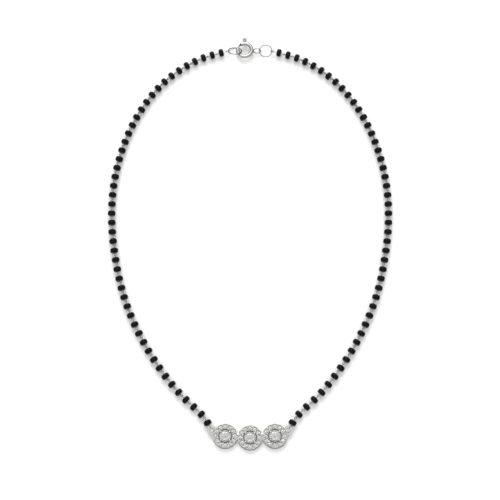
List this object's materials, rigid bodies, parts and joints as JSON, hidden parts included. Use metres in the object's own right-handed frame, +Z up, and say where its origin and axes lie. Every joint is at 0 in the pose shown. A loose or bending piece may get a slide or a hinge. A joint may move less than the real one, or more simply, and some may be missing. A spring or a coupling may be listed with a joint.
{
  "type": "mangalsutra necklace",
  "caption": "Mangalsutra necklace laid flat: strands of small black beads on silver eye pins, a pendant of three haloed stones, and a spring ring clasp.",
  "frame": {"origin": "centre of the laid-out necklace's box, on the surface it lies on", "axes": "+X across the loop to the right as seen from above, +Y from the pendant to the clasp, +Z up, out of the pendant's stones"},
  "size_m": [0.1108, 0.1662, 0.0037],
  "materials": {
    "bead": "polished black",
    "silver": "polished silver",
    "stone": "cut and polished, clear"
  },
  "bodies": {
    "necklace": {"beads_left_upper": "bead", "beads_left_lower": "bead", "beads_right_upper": "bead", "beads_right_lower": "bead", "eye_pins_left": "silver", "eye_pins_right": "silver", "setting": "silver", "centre_stone_left": "stone", "centre_stone_middle": "stone", "centre_stone_right": "stone", "halo_stones_left": "stone", "halo_stones_middle": "stone", "halo_stones_right": "stone", "end_stone_left": "stone", "end_stone_right": "stone", "jump_ring_left": "silver", "jump_ring_right": "silver", "spring_ring_case": "silver"},
    "clasp_bolt": {"spring_ring_bolt": "silver"}
  },
  "joints": [
    {"name": "clasp_trigger", "type": "hinge", "parent": "necklace", "child": "clasp_bolt", "pos_m": [-0.00217, 0.07807, 0.00186], "axis": [0, 0, -1], "range_deg": [0, 46], "stiffness_Nm_per_rad": 0.0004, "springref_deg": -5.73}
  ]
}
